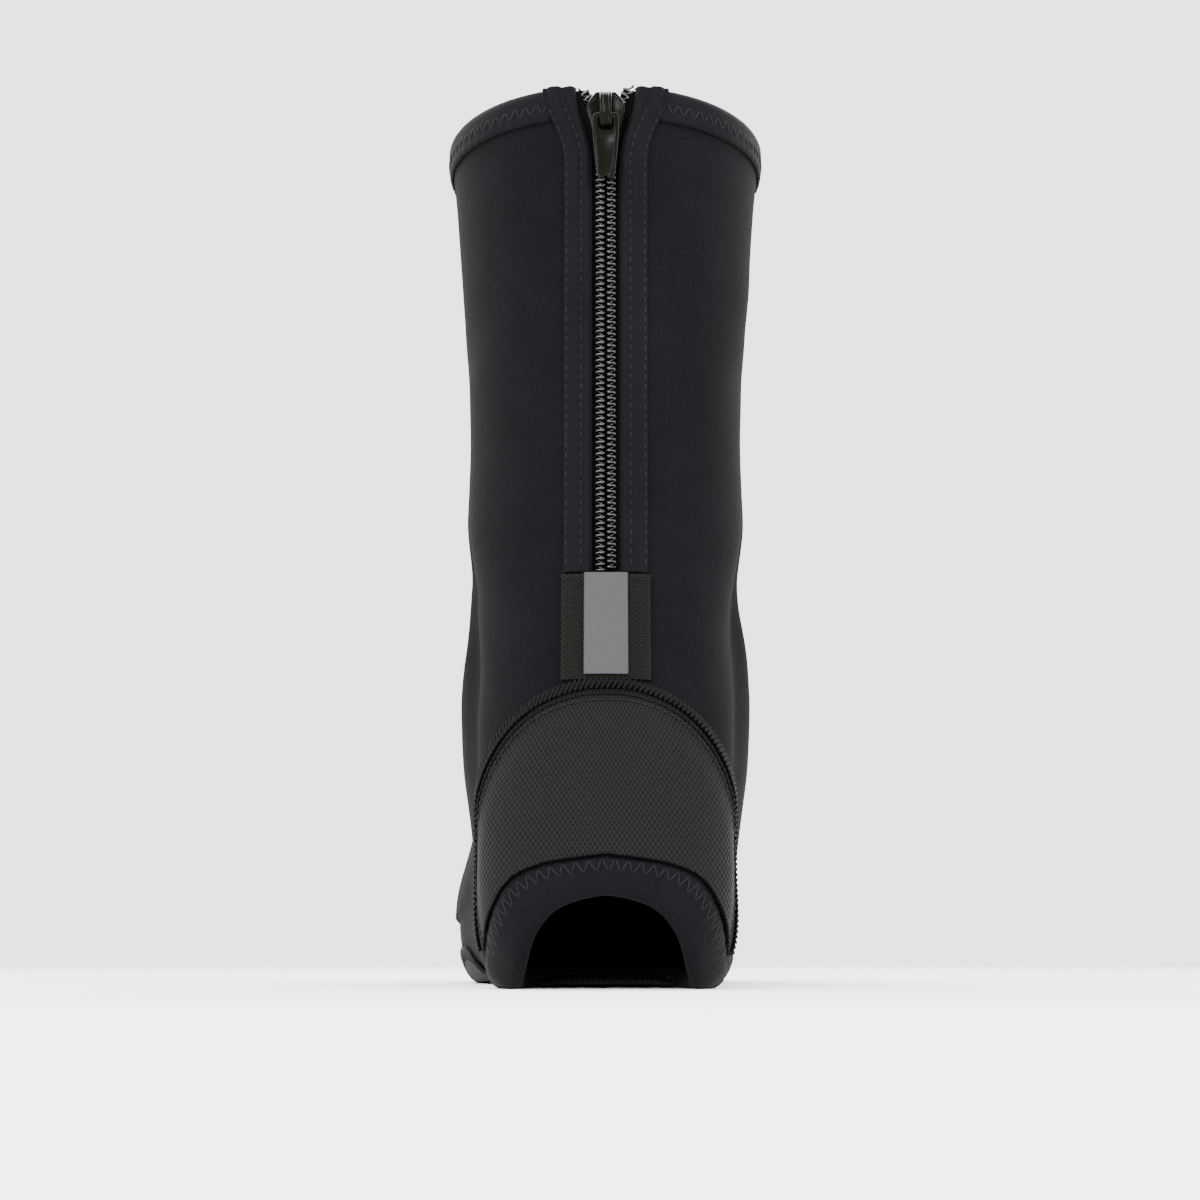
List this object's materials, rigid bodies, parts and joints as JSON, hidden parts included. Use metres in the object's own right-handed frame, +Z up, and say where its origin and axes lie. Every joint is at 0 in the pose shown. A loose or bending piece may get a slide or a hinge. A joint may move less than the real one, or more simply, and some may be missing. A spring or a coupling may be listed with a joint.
{
  "type": "winter cycling overshoe",
  "caption": "Neoprene winter overshoe for the left foot, with a rear zip, a collar binding, a woven heel patch and an open sole.",
  "frame": {"origin": "middle of the shoe's box, on the floor", "axes": "+Z up, +Y towards the toe, +X towards the inner side of the left foot"},
  "size_m": [0.104, 0.2906, 0.2655],
  "materials": {
    "neoprene": "matt knitted jersey on foam",
    "binding": "smooth stretch cloth",
    "woven_cloth": "hard woven cloth",
    "ribbed_elastic": "ribbed elastic",
    "webbing": "ribbed webbing",
    "reflective": "grey reflective tape",
    "zip_tape": "woven tape",
    "zip_coil": "glossy nylon coil",
    "zip_metal": "glossy dark bronze"
  },
  "bodies": {
    "shoe": {"upper": "neoprene", "collar_binding": "binding", "heel_opening_binding": "binding", "forefoot_opening_binding": "binding", "heel_patch": "woven_cloth", "heel_patch_cord": "woven_cloth", "arch_strip": "woven_cloth", "arch_gusset_lateral": "ribbed_elastic", "arch_gusset_medial": "ribbed_elastic", "webbing_tab": "webbing", "reflective_strip": "reflective", "zip_facing_lateral": "binding", "zip_facing_medial": "binding", "zip_tape_lateral": "zip_tape", "zip_tape_medial": "zip_tape", "zip_coil_lateral": "zip_coil", "zip_coil_medial": "zip_coil", "zip_slider": "zip_metal"},
    "pull_tab": {"zip_pull_tab": "zip_metal"}
  },
  "joints": [
    {"name": "pull_tab_hinge", "type": "hinge", "parent": "shoe", "child": "pull_tab", "pos_m": [0.0018, -0.14233, 0.25422], "axis": [-1, 0, 0], "range_deg": [-4, 135]}
  ]
}
